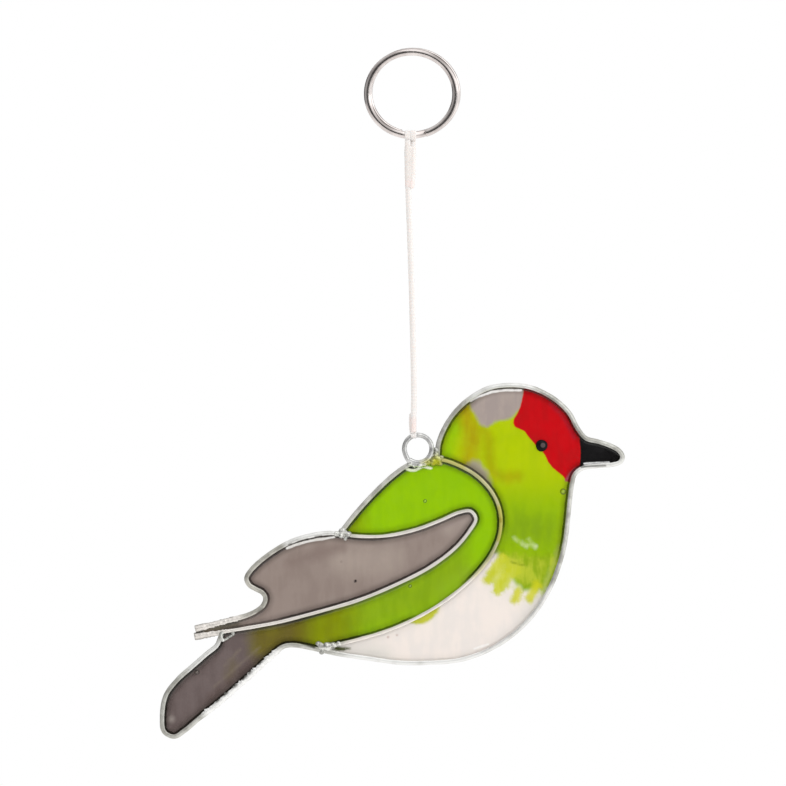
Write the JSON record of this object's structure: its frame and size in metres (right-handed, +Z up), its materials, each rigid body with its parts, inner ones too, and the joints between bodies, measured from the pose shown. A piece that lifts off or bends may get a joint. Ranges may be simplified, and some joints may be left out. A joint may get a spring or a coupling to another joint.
{
  "type": "bird suncatcher",
  "caption": "Wire bird filled with translucent coloured resin, hung by a tied cord from a split ring to catch light at a window.",
  "frame": {"origin": "inner top of the split ring, where the hook that holds it up bears", "axes": "+Z up along the hanging direction, +X towards the bird's beak, -Y out of the bird's front face, the side with the raised eye drop"},
  "size_m": [0.12, 0.0079, 0.1786],
  "materials": {
    "ring_steel": "polished nickel-plated spring steel",
    "cord": "off-white braided cotton with hardened glue at both joins",
    "eye_ring_wire": "bright drawn wire",
    "frame_wire": "bright tinned wire, slightly uneven",
    "body_resin": "glossy translucent resin: green head and breast, red face, black beak, milky belly",
    "wing_resin": "glossy translucent resin: green wing running into a grey-brown tail",
    "feather_resin": "glossy translucent grey-taupe resin",
    "black_drop": "glossy raised black drop",
    "solder": "bright lumpy solder"
  },
  "bodies": {
    "root": {"split_ring": "ring_steel", "hanging_cord": "cord", "hanging_eye": "eye_ring_wire", "body_wire": "frame_wire", "wing_wire": "frame_wire", "feather_wire": "frame_wire", "body_pane": "body_resin", "wing_tail_pane": "wing_resin", "feather_pane": "feather_resin", "eye_drop": "black_drop", "eye_foot_solder": "solder", "neck_solder": "solder", "back_solder": "solder", "belly_solder": "solder", "tail_solder": "solder"}
  },
  "joints": []
}
